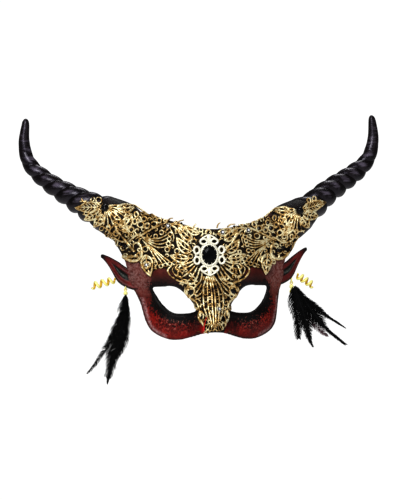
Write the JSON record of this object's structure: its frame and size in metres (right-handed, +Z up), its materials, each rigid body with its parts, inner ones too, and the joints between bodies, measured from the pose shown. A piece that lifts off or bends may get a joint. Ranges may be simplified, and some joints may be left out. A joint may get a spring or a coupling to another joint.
{
  "type": "folk art mask",
  "caption": "Half mask with long ridged horns, pointed ears, gilt lace over the brow and nose, a jewelled medallion and feather ear drops.",
  "frame": {"origin": "midway between the wearer's eyes, on the eye line, in the plane of the mask's side rims", "axes": "+Z up, the face looks along -Y, +X to the right of someone facing the mask"},
  "size_m": [0.3812, 0.1412, 0.2844],
  "materials": {
    "painted_shell": "satin",
    "painted_ear": "satin",
    "lacquered_horn": "gloss",
    "steel_wire": "matte",
    "gilt_lace": "metallic paint",
    "pale_gold": "polished",
    "black_stone": "gloss",
    "rhinestone": "gloss",
    "black_bead": "gloss",
    "gold_wire": "polished",
    "brass_fitting": "satin",
    "black_feather": "sheen",
    "brown_feather": "sheen"
  },
  "bodies": {
    "mask": {"brow_lace": "gilt_lace", "brow_rhinestones": "rhinestone", "centre_stone": "black_stone", "left_ear": "painted_ear", "left_ear_coil": "gold_wire", "left_horn": "lacquered_horn", "left_horn_bead": "black_bead", "left_horn_lace": "gilt_lace", "left_horn_wire": "steel_wire", "left_scroll_beads": "black_bead", "left_tie_loop": "brass_fitting", "mask_shell": "painted_shell", "medallion_bezel": "pale_gold", "medallion_frame": "pale_gold", "medallion_post": "pale_gold", "nose_lace": "gilt_lace", "nose_rhinestone": "rhinestone", "rhinestone_settings": "pale_gold", "right_ear": "painted_ear", "right_ear_coil": "gold_wire", "right_horn": "lacquered_horn", "right_horn_bead": "black_bead", "right_horn_lace": "gilt_lace", "right_horn_wire": "steel_wire", "right_scroll_beads": "black_bead", "right_tie_loop": "brass_fitting"},
    "left_ring": {"left_jump_ring": "gold_wire"},
    "left_drop": {"left_eye_pin": "gold_wire", "left_drop_bead": "gold_wire", "left_feather_cap": "gold_wire", "left_inner_wisp": "black_feather", "left_long_feather": "black_feather", "left_outer_wisp": "black_feather", "left_puff_feather": "black_feather"},
    "right_ring": {"right_jump_ring": "gold_wire"},
    "right_drop": {"right_eye_pin": "gold_wire", "right_drop_bead": "gold_wire", "right_brown_feather": "brown_feather", "right_feather_cap": "gold_wire", "right_inner_feather": "black_feather", "right_middle_feather": "black_feather", "right_outer_feather": "black_feather", "right_upper_feather": "black_feather"}
  },
  "joints": [
    {"name": "left_ring_sway", "type": "hinge", "parent": "mask", "child": "left_ring", "pos_m": [-0.084, 0.002, 0.016], "axis": [0, 1, 0], "range_deg": [-8, 35]},
    {"name": "left_drop_swing", "type": "hinge", "parent": "left_ring", "child": "left_drop", "pos_m": [-0.084, 0.002, 0.012], "axis": [1, 0, 0], "range_deg": [-35, 35]},
    {"name": "right_ring_sway", "type": "hinge", "parent": "mask", "child": "right_ring", "pos_m": [0.0905, 0.0046, 0.0206], "axis": [0, 1, 0], "range_deg": [-18, 8]},
    {"name": "right_drop_swing", "type": "hinge", "parent": "right_ring", "child": "right_drop", "pos_m": [0.0905, 0.0046, 0.0166], "axis": [1, 0, 0], "range_deg": [-35, 35]}
  ]
}
